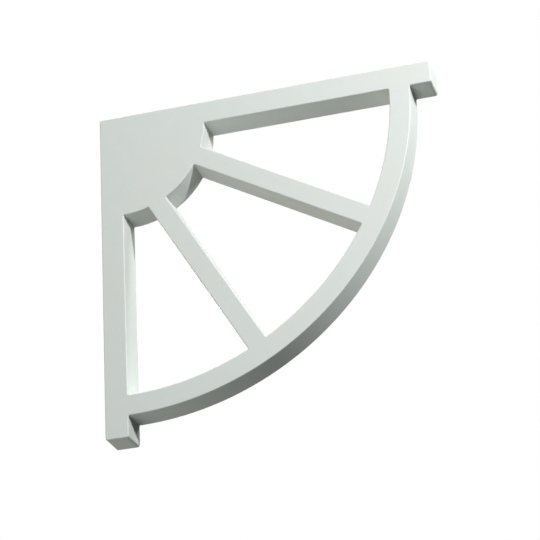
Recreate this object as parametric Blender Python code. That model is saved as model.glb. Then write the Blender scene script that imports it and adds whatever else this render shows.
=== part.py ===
"""Quarter-wheel wall bracket, modelled in metres with +Z up.

Two equal legs meet at a right angle. A quarter-round rim joins them near their free ends, a
quarter-disc hub fills their corner, and two spokes run from the hub to the rim. It is one
moulded piece, flat on both faces. Its sides widen a little towards the back, the draft that
lets it out of its mould, but the faces against the wall and under the eaves stay square. X
runs out from the wall, Y from the front face to the back and Z up. The origin is the middle
of the wall face's height, halfway through the thickness.
"""

import math

import bmesh
import bpy
from mathutils import Vector

# Driving dimensions, in metres, those of the outline as they are at the front face
OVERALL = 0.600
THICKNESS = 0.053
DRAFT = 0.002
LEG_WIDTH = 0.0405
TAIL_LENGTH = 0.038
RIM_WIDTH = 0.036
HUB_RADIUS = 0.152
SPOKE_WIDTH = 0.0345
CORNER_RADIUS = 0.0035
ARRIS_RADIUS = 0.0015

# Angle between each spoke's middle line and the leg beside it
SPOKE_ANGLE = math.radians(29.85)

# Fineness of the facets
ARC_STEP = math.radians(2.5)
CORNER_STEPS = 3
ARRIS_STEPS = 2

# A turn sharper than this is a corner to round, not a step along an arc
SHARPEST_ARC_TURN = math.radians(20.0)
# The most of a straight run that one rounded corner may take up
LONGEST_TANGENT_SHARE = 0.45

# Satin white moulded polymer
COLOUR = (0.80, 0.81, 0.79, 1.0)
ROUGHNESS = 0.45

# The legs reach the overall size at the back, where the sides end and its edges turn round
LEG_LENGTH = OVERALL - DRAFT
DRAFT_DEPTH = THICKNESS - ARRIS_RADIUS

# The arcs centre on the legs' inner corner, and angles turn down from the top leg to the wall
CENTRE = Vector((LEG_WIDTH, -LEG_WIDTH))
TOP_LEG = 0.0
WALL_LEG = math.pi / 2
RIM_OUTER_RADIUS = LEG_LENGTH - LEG_WIDTH - TAIL_LENGTH
RIM_INNER_RADIUS = RIM_OUTER_RADIUS - RIM_WIDTH


def heading(angle):
    """Unit vector at an angle down from the top leg."""
    return Vector((math.cos(angle), -math.sin(angle)))


def arc(radius, start, end):
    """Points on a circle about the legs' inner corner."""
    count = max(2, math.ceil(abs(end - start) / ARC_STEP))
    angles = [start + (end - start) * step / count for step in range(count + 1)]
    return [CENTRE + radius * heading(angle) for angle in angles]


def leg_edge(angle):
    """A leg's inner edge, as a function from a radius to the angle where it crosses.

    The edge runs through the centre of the arcs, so it crosses them all at one angle.
    """
    return lambda radius: angle


def spoke_edge(angle, side):
    """A spoke's edge, as a function from a radius to the angle where it crosses.

    The spoke's middle line runs through the bracket's outer corner. Side is -1 for the edge
    towards the top leg and +1 for the edge towards the wall.
    """
    along = heading(angle)
    across = heading(angle + math.pi / 2)
    from_centre = across * side * SPOKE_WIDTH / 2 - CENTRE

    def crossing(radius):
        nearest = from_centre.dot(along)
        offset_squared = from_centre.length_squared - nearest ** 2
        reach = math.sqrt(radius ** 2 - offset_squared) - nearest
        point = from_centre + along * reach
        return math.atan2(-point.y, point.x)

    return crossing


def rounded(points):
    """A closed outline with each sharp corner replaced by a small arc."""
    outline = []
    for index, corner in enumerate(points):
        before = points[index - 1] - corner
        after = points[(index + 1) % len(points)] - corner
        half_angle = before.angle(after) / 2
        if math.pi - 2 * half_angle < SHARPEST_ARC_TURN:
            outline.append(corner)
            continue
        longest = LONGEST_TANGENT_SHARE * min(before.length, after.length)
        tangent = min(CORNER_RADIUS / math.tan(half_angle), longest)
        radius = tangent * math.tan(half_angle)
        inward = (before.normalized() + after.normalized()).normalized()
        middle = corner + inward * tangent / math.cos(half_angle)
        first = corner + before.normalized() * tangent - middle
        last = corner + after.normalized() * tangent - middle
        for step in range(CORNER_STEPS + 1):
            direction = first.normalized().slerp(last.normalized(), step / CORNER_STEPS)
            outline.append(middle + radius * direction)
    return outline


def outer_outline():
    """Both legs with their square tails, and the outside of the rim between them."""
    top_leg = [Vector((0, 0)), Vector((LEG_LENGTH, 0)), Vector((LEG_LENGTH, -LEG_WIDTH))]
    rim = arc(RIM_OUTER_RADIUS, TOP_LEG, WALL_LEG)
    wall_leg = [Vector((LEG_WIDTH, -LEG_LENGTH)), Vector((0, -LEG_LENGTH))]
    return rounded(top_leg + rim + wall_leg)


def bay_outline(upper_edge, lower_edge):
    """The opening between two edges, from the hub's arc to the inside of the rim."""
    hub = arc(HUB_RADIUS, lower_edge(HUB_RADIUS), upper_edge(HUB_RADIUS))
    rim = arc(RIM_INNER_RADIUS, upper_edge(RIM_INNER_RADIUS), lower_edge(RIM_INNER_RADIUS))
    return rounded(hub + rim)


def bay_outlines():
    """The three openings, from the top leg round to the wall."""
    upper_spoke = TOP_LEG + SPOKE_ANGLE
    lower_spoke = WALL_LEG - SPOKE_ANGLE
    return [
        bay_outline(leg_edge(TOP_LEG), spoke_edge(upper_spoke, -1)),
        bay_outline(spoke_edge(upper_spoke, +1), spoke_edge(lower_spoke, -1)),
        bay_outline(spoke_edge(lower_spoke, +1), leg_edge(WALL_LEG)),
    ]


def turned(outline, way):
    """The outline running anticlockwise for +1, clockwise for -1."""
    area = sum(
        point.cross(outline[(index + 1) % len(outline)])
        for index, point in enumerate(outline)
    )
    return outline if area * way > 0 else outline[::-1]


def inward_moves(outline):
    """The move of each point that takes the edges beside it one metre into the material,
    which lies on the outline's left."""
    moves = []
    for index, point in enumerate(outline):
        before = (point - outline[index - 1]).normalized()
        after = (outline[(index + 1) % len(outline)] - point).normalized()
        left = Vector((-before.y - after.y, before.x + after.x)).normalized()
        mitre = left.dot(Vector((-before.y, before.x)))
        moves.append(left / mitre)
    return moves


def draft_moves(moves, square_to_wall):
    """How each point moves between the front face and the back.

    Every side grows outwards by the draft, but where the outline is square to the wall it
    doesn't grow towards the wall or upwards.
    """
    grown = [-move * DRAFT for move in moves]
    if not square_to_wall:
        return grown
    return [Vector((max(move.x, 0.0), min(move.y, 0.0))) for move in grown]


def edge_profile():
    """Rings from the front face to the back: how far each is drawn in, and its depth."""
    front = []
    for step in range(ARRIS_STEPS + 1):
        turn = math.pi / 2 * step / ARRIS_STEPS
        inset = ARRIS_RADIUS * (1 - math.sin(turn))
        depth = ARRIS_RADIUS * (1 - math.cos(turn))
        front.append((inset, depth))
    back = [(inset, THICKNESS - depth) for inset, depth in reversed(front)]
    return front + back


def add_sides(shell, outline, square_to_wall):
    """The sides of one outline, lofted from the front face to the back through its rounded
    edges. Gives the edges of its first ring and its last."""
    moves = inward_moves(outline)
    drafts = draft_moves(moves, square_to_wall)
    rings = []
    for inset, depth in edge_profile():
        ring = []
        for point, move, draft in zip(outline, moves, drafts):
            place = point + move * inset + draft * depth / DRAFT_DEPTH
            ring.append(shell.verts.new((place.x, depth - THICKNESS / 2, place.y + OVERALL / 2)))
        rings.append(ring)
    for near, far in zip(rings, rings[1:]):
        for index in range(len(near)):
            following = (index + 1) % len(near)
            shell.faces.new((near[index], near[following], far[following], far[index]))
    return [
        [shell.edges.get((ring[index - 1], ring[index])) for index in range(len(ring))]
        for ring in (rings[0], rings[-1])
    ]


def white_polymer():
    """Satin white moulded polymer."""
    material = bpy.data.materials.new("white_polymer")
    material.use_nodes = True
    shader = material.node_tree.nodes["Principled BSDF"]
    shader.inputs["Base Color"].default_value = COLOUR
    shader.inputs["Roughness"].default_value = ROUGHNESS
    shader.inputs["Metallic"].default_value = 0.0
    material.diffuse_color = COLOUR
    return material


def make_bracket(collection):
    """The whole bracket: the sides of its outline and bays, closed by two flat faces."""
    shell = bmesh.new()
    front_edges, back_edges = add_sides(shell, turned(outer_outline(), +1), True)
    for bay in bay_outlines():
        front, back = add_sides(shell, turned(bay, -1), False)
        front_edges += front
        back_edges += back
    for edges in (front_edges, back_edges):
        bmesh.ops.triangle_fill(shell, edges=edges, use_beauty=True)
    bmesh.ops.recalc_face_normals(shell, faces=shell.faces)

    mesh = bpy.data.meshes.new("bracket")
    shell.to_mesh(mesh)
    shell.free()
    mesh.materials.append(white_polymer())
    collection.objects.link(bpy.data.objects.new("bracket", mesh))


def main():
    for old in list(bpy.data.objects):
        bpy.data.objects.remove(old, do_unlink=True)
    collection = bpy.data.collections.new("quarter_wheel_bracket")
    bpy.context.scene.collection.children.link(collection)
    make_bracket(collection)


main()
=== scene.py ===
import math

import bmesh
import bpy
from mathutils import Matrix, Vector


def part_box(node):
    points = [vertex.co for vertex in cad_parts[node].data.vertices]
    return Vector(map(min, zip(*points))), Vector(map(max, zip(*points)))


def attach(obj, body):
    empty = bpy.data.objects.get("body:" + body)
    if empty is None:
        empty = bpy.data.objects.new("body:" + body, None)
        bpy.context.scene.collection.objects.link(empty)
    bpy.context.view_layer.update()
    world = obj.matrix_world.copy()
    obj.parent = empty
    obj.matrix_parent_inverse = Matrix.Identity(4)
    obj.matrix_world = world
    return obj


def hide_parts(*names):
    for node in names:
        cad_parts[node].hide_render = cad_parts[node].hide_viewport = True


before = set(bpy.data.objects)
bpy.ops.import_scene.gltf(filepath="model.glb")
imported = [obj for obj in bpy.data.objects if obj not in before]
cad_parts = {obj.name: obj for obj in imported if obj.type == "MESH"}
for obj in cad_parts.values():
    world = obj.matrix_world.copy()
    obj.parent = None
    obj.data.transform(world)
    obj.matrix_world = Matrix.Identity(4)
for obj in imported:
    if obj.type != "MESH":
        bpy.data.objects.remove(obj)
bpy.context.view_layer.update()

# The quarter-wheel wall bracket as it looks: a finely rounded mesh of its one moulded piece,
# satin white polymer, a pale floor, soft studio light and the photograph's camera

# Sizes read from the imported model, in metres
NODE_LOW, NODE_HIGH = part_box("bracket")
OVERALL = NODE_HIGH[0] - NODE_LOW[0]
THICKNESS = NODE_HIGH[1] - NODE_LOW[1]
TOP = NODE_HIGH[2]
FRONT = NODE_LOW[1]

# Sizes of the outline at the front face, in metres
DRAFT = 0.002
LEG_LENGTH = OVERALL - DRAFT
LEG_WIDTH = 0.0405
TAIL_LENGTH = 0.038
RIM_WIDTH = 0.036
HUB_RADIUS = 0.152
SPOKE_WIDTH = 0.0345
SPOKE_ANGLE = math.radians(29.85)
CORNER_RADIUS = 0.0035
ARRIS_RADIUS = 0.0015
# The sides are widest at this depth, where the rounding of the back edge starts
DRAFT_DEPTH = THICKNESS - ARRIS_RADIUS

# Fineness of the mesh
ARC_STEP = math.radians(0.75)
CORNER_STEPS = 6
ARRIS_STEPS = 5
SHARPEST_ARC_TURN = math.radians(20.0)
LONGEST_TANGENT_SHARE = 0.45
# A narrow ring beside each rounded edge keeps the flat faces shaded flat
FLAT_MARGIN = 0.0008
# Straight runs are cut to this length, so that the painted corner shade can fade along them
LONGEST_RUN = 0.008

# How far the painted shade reaches out of an inner corner, and the sharpest turn that isn't a
# corner
CORNER_SHADE_REACH = 0.009
CORNER_TURN = math.radians(5.0)

# The arcs centre on the legs' inner corner, and angles turn down from the top leg to the wall
CENTRE = Vector((LEG_WIDTH, -LEG_WIDTH))
TOP_LEG = 0.0
WALL_LEG = math.pi / 2
RIM_OUTER_RADIUS = LEG_LENGTH - LEG_WIDTH - TAIL_LENGTH
RIM_INNER_RADIUS = RIM_OUTER_RADIUS - RIM_WIDTH


def heading(angle):
    """Unit vector at an angle down from the top leg."""
    return Vector((math.cos(angle), -math.sin(angle)))


def arc(radius, start, end):
    """Points on a circle about the legs' inner corner."""
    count = max(2, math.ceil(abs(end - start) / ARC_STEP))
    angles = [start + (end - start) * step / count for step in range(count + 1)]
    return [CENTRE + radius * heading(angle) for angle in angles]


def leg_edge(angle):
    """A leg's inner edge, as a function from a radius to the angle where it crosses."""
    return lambda radius: angle


def spoke_edge(angle, side):
    """A spoke's edge, as a function from a radius to the angle where it crosses.

    The spoke's middle line runs through the bracket's outer corner. Side is -1 for the edge
    towards the top leg and +1 for the edge towards the wall.
    """
    along = heading(angle)
    across = heading(angle + math.pi / 2)
    from_centre = across * side * SPOKE_WIDTH / 2 - CENTRE

    def crossing(radius):
        nearest = from_centre.dot(along)
        offset_squared = from_centre.length_squared - nearest ** 2
        reach = math.sqrt(radius ** 2 - offset_squared) - nearest
        point = from_centre + along * reach
        return math.atan2(-point.y, point.x)

    return crossing


def rounded(points):
    """A closed outline with each sharp corner replaced by a small arc."""
    outline = []
    for index, corner in enumerate(points):
        before = points[index - 1] - corner
        after = points[(index + 1) % len(points)] - corner
        half_angle = before.angle(after) / 2
        if math.pi - 2 * half_angle < SHARPEST_ARC_TURN:
            outline.append(corner)
            continue
        longest = LONGEST_TANGENT_SHARE * min(before.length, after.length)
        tangent = min(CORNER_RADIUS / math.tan(half_angle), longest)
        radius = tangent * math.tan(half_angle)
        inward = (before.normalized() + after.normalized()).normalized()
        middle = corner + inward * tangent / math.cos(half_angle)
        first = corner + before.normalized() * tangent - middle
        last = corner + after.normalized() * tangent - middle
        for step in range(CORNER_STEPS + 1):
            outward = first.normalized().slerp(last.normalized(), step / CORNER_STEPS)
            outline.append(middle + radius * outward)
    return outline


def outer_outline():
    """Both legs with their square tails, and the outside of the rim between them."""
    top_leg = [Vector((0, 0)), Vector((LEG_LENGTH, 0)), Vector((LEG_LENGTH, -LEG_WIDTH))]
    rim = arc(RIM_OUTER_RADIUS, TOP_LEG, WALL_LEG)
    wall_leg = [Vector((LEG_WIDTH, -LEG_LENGTH)), Vector((0, -LEG_LENGTH))]
    return rounded(top_leg + rim + wall_leg)


def bay_outline(upper_edge, lower_edge):
    """The opening between two edges, from the hub's arc to the inside of the rim."""
    hub = arc(HUB_RADIUS, lower_edge(HUB_RADIUS), upper_edge(HUB_RADIUS))
    rim = arc(RIM_INNER_RADIUS, upper_edge(RIM_INNER_RADIUS), lower_edge(RIM_INNER_RADIUS))
    return rounded(hub + rim)


def bay_outlines():
    """The three openings, from the top leg round to the wall."""
    upper_spoke = TOP_LEG + SPOKE_ANGLE
    lower_spoke = WALL_LEG - SPOKE_ANGLE
    return [
        bay_outline(leg_edge(TOP_LEG), spoke_edge(upper_spoke, -1)),
        bay_outline(spoke_edge(upper_spoke, +1), spoke_edge(lower_spoke, -1)),
        bay_outline(spoke_edge(lower_spoke, +1), leg_edge(WALL_LEG)),
    ]


def cut_to_runs(outline):
    """The outline with points added along its straight runs."""
    points = []
    for index, point in enumerate(outline):
        following = outline[(index + 1) % len(outline)]
        count = max(1, math.ceil((following - point).length / LONGEST_RUN))
        points += [point.lerp(following, step / count) for step in range(count)]
    return points


def turned(outline, way):
    """The outline running anticlockwise for +1, clockwise for -1."""
    area = sum(
        point.cross(outline[(index + 1) % len(outline)])
        for index, point in enumerate(outline)
    )
    return outline if area * way > 0 else outline[::-1]


def inward_moves(outline):
    """The move of each point that takes the edges beside it one metre into the material,
    which lies on the outline's left."""
    moves = []
    for index, point in enumerate(outline):
        before = (point - outline[index - 1]).normalized()
        after = (outline[(index + 1) % len(outline)] - point).normalized()
        left = Vector((-before.y - after.y, before.x + after.x)).normalized()
        mitre = left.dot(Vector((-before.y, before.x)))
        moves.append(left / mitre)
    return moves


def inner_corner_shade(outline):
    """How much painted shade each point gets from lying in an inner corner, from 0 to 1."""
    corners = []
    for index, point in enumerate(outline):
        before = point - outline[index - 1]
        after = outline[(index + 1) % len(outline)] - point
        if before.angle_signed(after) > CORNER_TURN:
            corners.append(point)
    corner_shade = []
    for point in outline:
        nearest = min((point - corner).length for corner in corners)
        corner_shade.append(math.exp(-(nearest / CORNER_SHADE_REACH) ** 2))
    return corner_shade


def draft_moves(moves, square_to_wall):
    """How each point moves between the front face and the back.

    Every side grows outwards by the draft, but where the outline is square to the wall it
    doesn't grow towards the wall or upwards.
    """
    grown = [-move * DRAFT for move in moves]
    if not square_to_wall:
        return grown
    return [Vector((max(move.x, 0.0), min(move.y, 0.0))) for move in grown]


def edge_profile():
    """Rings from the front face to the back: how far each is drawn in, its depth, and
    whether it lies on a rounded edge."""
    front = [(ARRIS_RADIUS + FLAT_MARGIN, 0.0, 0.0)]
    for step in range(ARRIS_STEPS + 1):
        turn = math.pi / 2 * step / ARRIS_STEPS
        inset = ARRIS_RADIUS * (1 - math.sin(turn))
        depth = ARRIS_RADIUS * (1 - math.cos(turn))
        front.append((inset, depth, 1.0))
    front.append((0.0, ARRIS_RADIUS + FLAT_MARGIN, 0.0))
    back = [(inset, THICKNESS - depth, on_rounded_edge) for inset, depth, on_rounded_edge in reversed(front)]
    return front + back


def add_sides(shell, layers, outline, square_to_wall):
    """The sides of one outline, lofted from the front face to the back through its rounded
    edges. Gives the edges of its first ring and its last."""
    moves = inward_moves(outline)
    drafts = draft_moves(moves, square_to_wall)
    corner_shade = inner_corner_shade(outline)
    rings = []
    for inset, depth, on_rounded_edge in edge_profile():
        ring = []
        for point, move, draft, amount in zip(outline, moves, drafts, corner_shade):
            place = point + move * inset + draft * depth / DRAFT_DEPTH
            vertex = shell.verts.new((place.x, FRONT + depth, TOP + place.y))
            vertex[layers["arris"]] = on_rounded_edge
            # Only the rings on the outline itself carry the painted shade of the inner corners
            vertex[layers["corner_shade"]] = amount if inset == 0.0 else 0.0
            ring.append(vertex)
        rings.append(ring)
    for near, far in zip(rings, rings[1:]):
        for index in range(len(near)):
            following = (index + 1) % len(near)
            shell.faces.new((near[index], near[following], far[following], far[index]))
    return [
        [shell.edges.get((ring[index - 1], ring[index])) for index in range(len(ring))]
        for ring in (rings[0], rings[-1])
    ]


def make_bracket_mesh():
    """The sides of the bracket's outline and bays, closed by two flat faces."""
    shell = bmesh.new()
    shell.verts.layers.float.new("arris")
    shell.verts.layers.float.new("corner_shade")
    layers = {name: shell.verts.layers.float[name] for name in ("arris", "corner_shade")}
    outside = cut_to_runs(turned(outer_outline(), +1))
    front_edges, back_edges = add_sides(shell, layers, outside, True)
    for bay in bay_outlines():
        inside = cut_to_runs(turned(bay, -1))
        front, back = add_sides(shell, layers, inside, False)
        front_edges += front
        back_edges += back
    for edges in (front_edges, back_edges):
        bmesh.ops.triangle_fill(shell, edges=edges, use_beauty=True)
    bmesh.ops.recalc_face_normals(shell, faces=shell.faces)

    mesh = bpy.data.meshes.new("moulded_bracket")
    shell.to_mesh(mesh)
    shell.free()
    mesh.shade_smooth()
    return mesh


# Where a Mix node takes its two colours and gives the mixed one
MIX_FIRST, MIX_SECOND, MIX_RESULT = 6, 7, 2


class Shading:
    """Short calls that add linked nodes to one material."""

    def __init__(self, name):
        self.material = bpy.data.materials.new(name)
        self.material.use_nodes = True
        self.tree = self.material.node_tree
        self.shader = self.tree.nodes["Principled BSDF"]
        place = self.tree.nodes.new("ShaderNodeTexCoord")
        self.place = place.outputs["Object"]

    def link(self, source, target):
        self.tree.links.new(source, target)

    def noise(self, scale, detail, roughness=0.5):
        """Cloudy noise from 0 to 1, with so many clouds to the metre."""
        node = self.tree.nodes.new("ShaderNodeTexNoise")
        node.inputs["Scale"].default_value = scale
        node.inputs["Detail"].default_value = detail
        node.inputs["Roughness"].default_value = roughness
        self.link(self.place, node.inputs["Vector"])
        return node.outputs["Fac"]

    def attribute(self, name):
        """A value kept at the mesh's vertices."""
        node = self.tree.nodes.new("ShaderNodeAttribute")
        node.attribute_name = name
        return node.outputs["Fac"]

    def spread(self, value, low, high, to_low=0.0, to_high=1.0):
        """The value moved from one range to another, and kept inside it."""
        node = self.tree.nodes.new("ShaderNodeMapRange")
        node.inputs["From Min"].default_value = low
        node.inputs["From Max"].default_value = high
        node.inputs["To Min"].default_value = to_low
        node.inputs["To Max"].default_value = to_high
        self.link(value, node.inputs["Value"])
        return node.outputs["Result"]

    def times(self, first, second):
        node = self.tree.nodes.new("ShaderNodeMath")
        node.operation = "MULTIPLY"
        self.link(first, node.inputs[0])
        self.link(second, node.inputs[1])
        return node.outputs["Value"]

    def between(self, amount, first, second):
        """From the first colour to the second. The first is a colour or a node's output."""
        node = self.tree.nodes.new("ShaderNodeMix")
        node.data_type = "RGBA"
        self.link(amount, node.inputs["Factor"])
        first_socket, second_socket = node.inputs[MIX_FIRST], node.inputs[MIX_SECOND]
        if isinstance(first, tuple):
            first_socket.default_value = (*first, 1.0)
        else:
            self.link(first, first_socket)
        second_socket.default_value = (*second, 1.0)
        return node.outputs[MIX_RESULT]

    def bump(self, height, distance, strength, below=None):
        node = self.tree.nodes.new("ShaderNodeBump")
        node.inputs["Distance"].default_value = distance
        node.inputs["Strength"].default_value = strength
        self.link(height, node.inputs["Height"])
        if below is not None:
            self.link(below, node.inputs["Normal"])
        return node.outputs["Normal"]


# The polymer's tones: most of it, its warmer clouds, its rubbed edges with their painted
# highlight, and the painted shade of its inner corners
COOL_WHITE = (0.800, 0.815, 0.795)
WARM_WHITE = (0.812, 0.806, 0.780)
GREY_WHITE = (0.775, 0.790, 0.775)
RUBBED_HIGHLIGHT_WHITE = (0.835, 0.845, 0.825)
CORNER_SHADE_TONE = (0.560, 0.540, 0.470)

# How fine each pattern is, in patches to the metre
WARM_CLOUDS = 6.0
GREY_CLOUDS = 38.0
RUBBED_HIGHLIGHT_PATCHES = 75.0
CORNER_SHADE_PATCHES = 160.0
GLOSS_PATCHES = 45.0
RIPPLES = 55.0
PEBBLES = 1300.0

# How high the ripple and the pebble of the skin stand, in metres, and how much they show
RIPPLE_HEIGHT = 0.00005
PEBBLE_HEIGHT = 0.00003
BUMP_STRENGTH = 0.5

# The least rough and the roughest patches
GLOSSIEST = 0.50
DULLEST = 0.62


def white_polymer():
    """Satin white moulded polymer: faint clouds of tone, edges rubbed lighter and given a painted
    highlight, painted shade in the inner corners, and the fine ripple and pebble of a moulded
    skin."""
    shading = Shading("white_polymer")
    warm_clouds = shading.spread(shading.noise(WARM_CLOUDS, 2.0), 0.35, 0.65)
    grey_clouds = shading.spread(shading.noise(GREY_CLOUDS, 4.0, 0.6), 0.40, 0.75, 0.0, 0.7)
    tone = shading.between(warm_clouds, COOL_WHITE, WARM_WHITE)
    tone = shading.between(grey_clouds, tone, GREY_WHITE)

    # The rounded edges are lighter: rubbed wear, with a painted highlight along them
    rubbing_and_highlight = shading.spread(shading.noise(RUBBED_HIGHLIGHT_PATCHES, 3.0), 0.35, 0.65, 0.05, 0.45)
    tone = shading.between(shading.times(shading.attribute("arris"), rubbing_and_highlight), tone, RUBBED_HIGHLIGHT_WHITE)
    # Painted shade darkens the inner corners
    corner_shade_amount = shading.spread(shading.noise(CORNER_SHADE_PATCHES, 4.0), 0.30, 0.70, 0.10, 0.35)
    tone = shading.between(shading.times(shading.attribute("corner_shade"), corner_shade_amount), tone, CORNER_SHADE_TONE)
    shading.link(tone, shading.shader.inputs["Base Color"])

    gloss_patches = shading.noise(GLOSS_PATCHES, 4.0)
    gloss = shading.spread(gloss_patches, 0.30, 0.70, GLOSSIEST, DULLEST)
    shading.link(gloss, shading.shader.inputs["Roughness"])

    ripple = shading.bump(shading.noise(RIPPLES, 1.0), RIPPLE_HEIGHT, BUMP_STRENGTH)
    pebbles = shading.noise(PEBBLES, 2.0)
    skin = shading.bump(pebbles, PEBBLE_HEIGHT, BUMP_STRENGTH, ripple)
    shading.link(skin, shading.shader.inputs["Normal"])
    return shading.material


def make_bracket():
    """The bracket's fine piece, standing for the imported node."""
    bracket = bpy.data.objects.new("moulded_bracket", make_bracket_mesh())
    bpy.context.scene.collection.objects.link(bracket)
    bracket.data.materials.append(white_polymer())
    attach(bracket, "root")
    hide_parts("bracket")


# The photograph's view: from below and to the right of the bracket, through a long lens
CAMERA_LOCATION = (1.0123, -2.8088, -1.3016)
CAMERA_TURN = (113.7318, 3.0066, 15.7388)
CAMERA_LENS = 125.167
SENSOR_WIDTH = 36.0
CAMERA_REACH = 100.0


def make_camera():
    """The camera at the photograph's viewing angle."""
    lens = bpy.data.cameras.new("camera")
    lens.sensor_width = SENSOR_WIDTH
    lens.lens = CAMERA_LENS
    lens.clip_end = CAMERA_REACH
    camera = bpy.data.objects.new("camera", lens)
    camera.location = CAMERA_LOCATION
    camera.rotation_euler = [math.radians(angle) for angle in CAMERA_TURN]
    bpy.context.scene.collection.objects.link(camera)
    bpy.context.scene.camera = camera


FLOOR_HEIGHT = -2.4
FLOOR_SIZE = 40.0
FLOOR_TONE = (0.80, 0.79, 0.77)
FLOOR_ROUGHNESS = 0.9


def make_floor():
    """A plain pale floor, far below the wall-hung bracket."""
    bpy.ops.mesh.primitive_plane_add(size=FLOOR_SIZE, location=(0.0, 0.0, FLOOR_HEIGHT))
    floor = bpy.context.object
    floor.name = "floor"
    material = bpy.data.materials.new("pale_floor")
    material.use_nodes = True
    shader = material.node_tree.nodes["Principled BSDF"]
    shader.inputs["Base Color"].default_value = (*FLOOR_TONE, 1.0)
    shader.inputs["Roughness"].default_value = FLOOR_ROUGHNESS
    floor.data.materials.append(material)
    # Its own light stays off the bracket, which hangs high above any floor
    floor.visible_diffuse = False
    floor.visible_glossy = False


# The studio's soft fills: azimuth round from the front towards the right and elevation, in
# degrees, and the colour of the light at its middle
SOFT_FILLS = {
    "high_fill": (30.0, 60.0, (1.01, 1.06, 1.04)),
    "top_fill": (0.0, 90.0, (0.26, 0.28, 0.20)),
    "left_fill": (-90.0, -20.0, (0.66, 0.64, 0.53)),
    "front_fill": (-30.0, -20.0, (0.26, 0.29, 0.27)),
    "low_fill": (-30.0, -60.0, (0.34, 0.39, 0.39)),
    "low_back_fill": (-150.0, -60.0, (0.31, 0.33, 0.30)),
}
# How fast a fill fades away from its middle
FILL_FALL_OFF = 4.0

# Round soft boxes that face the bracket: azimuth, elevation, diameter in metres, power in
# watts and colour
SOFT_BOXES = {
    "key_box": (52.0, 22.0, 0.3, 78.4, (0.96, 1.0, 1.0)),
    "side_box": (110.0, 25.0, 1.0, 28.2, (0.89, 1.0, 0.95)),
    "back_box": (200.0, 20.0, 1.0, 60.0, (1.0, 1.0, 1.0)),
    "top_box": (0.0, 90.0, 1.0, 15.0, (1.0, 1.0, 1.0)),
}
BOX_DISTANCE = 3.0
LIT_POINT = Vector((0.25, 0.0, 0.0))

# The wash hangs between the bracket and the floor, and shines down
WASH_HEIGHT = -1.3
WASH_SIZE = 14.0
WASH_POWER = 60.0
WHITE = (1.0, 1.0, 1.0)
UP = Vector((0.0, 0.0, 1.0))


def direction(azimuth, elevation):
    """Unit vector towards a light, from its azimuth and elevation in degrees."""
    azimuth, elevation = math.radians(azimuth), math.radians(elevation)
    level = math.cos(elevation)
    return Vector((math.sin(azimuth) * level, -math.cos(azimuth) * level, math.sin(elevation)))


def add_fill(tree, azimuth, elevation, colour):
    """A broad soft light in the world: its colour fades with the angle from its middle."""
    place = tree.nodes.new("ShaderNodeTexCoord")
    towards = tree.nodes.new("ShaderNodeVectorMath")
    towards.operation = "DOT_PRODUCT"
    towards.inputs[1].default_value = direction(azimuth, elevation)
    tree.links.new(place.outputs["Generated"], towards.inputs[0])
    facing = tree.nodes.new("ShaderNodeMath")
    facing.operation = "MAXIMUM"
    facing.inputs[1].default_value = 0.0
    tree.links.new(towards.outputs["Value"], facing.inputs[0])
    fading = tree.nodes.new("ShaderNodeMath")
    fading.operation = "POWER"
    fading.inputs[1].default_value = FILL_FALL_OFF
    tree.links.new(facing.outputs["Value"], fading.inputs[0])
    tint = tree.nodes.new("ShaderNodeVectorMath")
    tint.operation = "SCALE"
    tint.inputs[0].default_value = colour
    tree.links.new(fading.outputs["Value"], tint.inputs["Scale"])
    return tint.outputs["Vector"]


def make_studio():
    """Soft fills all round, and a plain white background."""
    world = bpy.data.worlds.new("studio")
    world.use_nodes = True
    bpy.context.scene.world = world
    tree = world.node_tree
    lit = None
    for fill in SOFT_FILLS.values():
        light = add_fill(tree, *fill)
        if lit is None:
            lit = light
            continue
        together = tree.nodes.new("ShaderNodeVectorMath")
        together.operation = "ADD"
        tree.links.new(lit, together.inputs[0])
        tree.links.new(light, together.inputs[1])
        lit = together.outputs["Vector"]
    # The camera sees plain white behind the bracket, and the fills light it
    background = tree.nodes.new("ShaderNodeMix")
    background.data_type = "RGBA"
    background.inputs[MIX_SECOND].default_value = (*WHITE, 1.0)
    path = tree.nodes.new("ShaderNodeLightPath")
    tree.links.new(path.outputs["Is Camera Ray"], background.inputs["Factor"])
    tree.links.new(lit, background.inputs[MIX_FIRST])
    tree.links.new(background.outputs[MIX_RESULT], tree.nodes["Background"].inputs["Color"])


def add_lamp(name, shape, size, power, colour, location, away):
    """An area light whose back is turned the way of a vector. The camera doesn't see it."""
    light = bpy.data.lights.new(name, "AREA")
    light.shape = shape
    light.size = size
    light.energy = power
    light.color = colour
    lamp = bpy.data.objects.new(name, light)
    lamp.location = location
    lamp.rotation_euler = away.to_track_quat("Z", "Y").to_euler()
    lamp.visible_camera = False
    bpy.context.scene.collection.objects.link(lamp)


def make_lamps():
    """The soft boxes, and a wash of light over the floor alone."""
    for name, (azimuth, elevation, diameter, power, colour) in SOFT_BOXES.items():
        towards = direction(azimuth, elevation)
        location = LIT_POINT + towards * BOX_DISTANCE
        add_lamp(name, "DISK", diameter, power, colour, location, towards)
    above_floor = Vector((0.0, 0.0, WASH_HEIGHT))
    add_lamp("floor_wash", "SQUARE", WASH_SIZE, WASH_POWER, WHITE, above_floor, UP)


make_bracket()
make_camera()
make_floor()
make_studio()
make_lamps()
bpy.context.scene.view_settings.view_transform = "Standard"

bpy.context.view_layer.update()
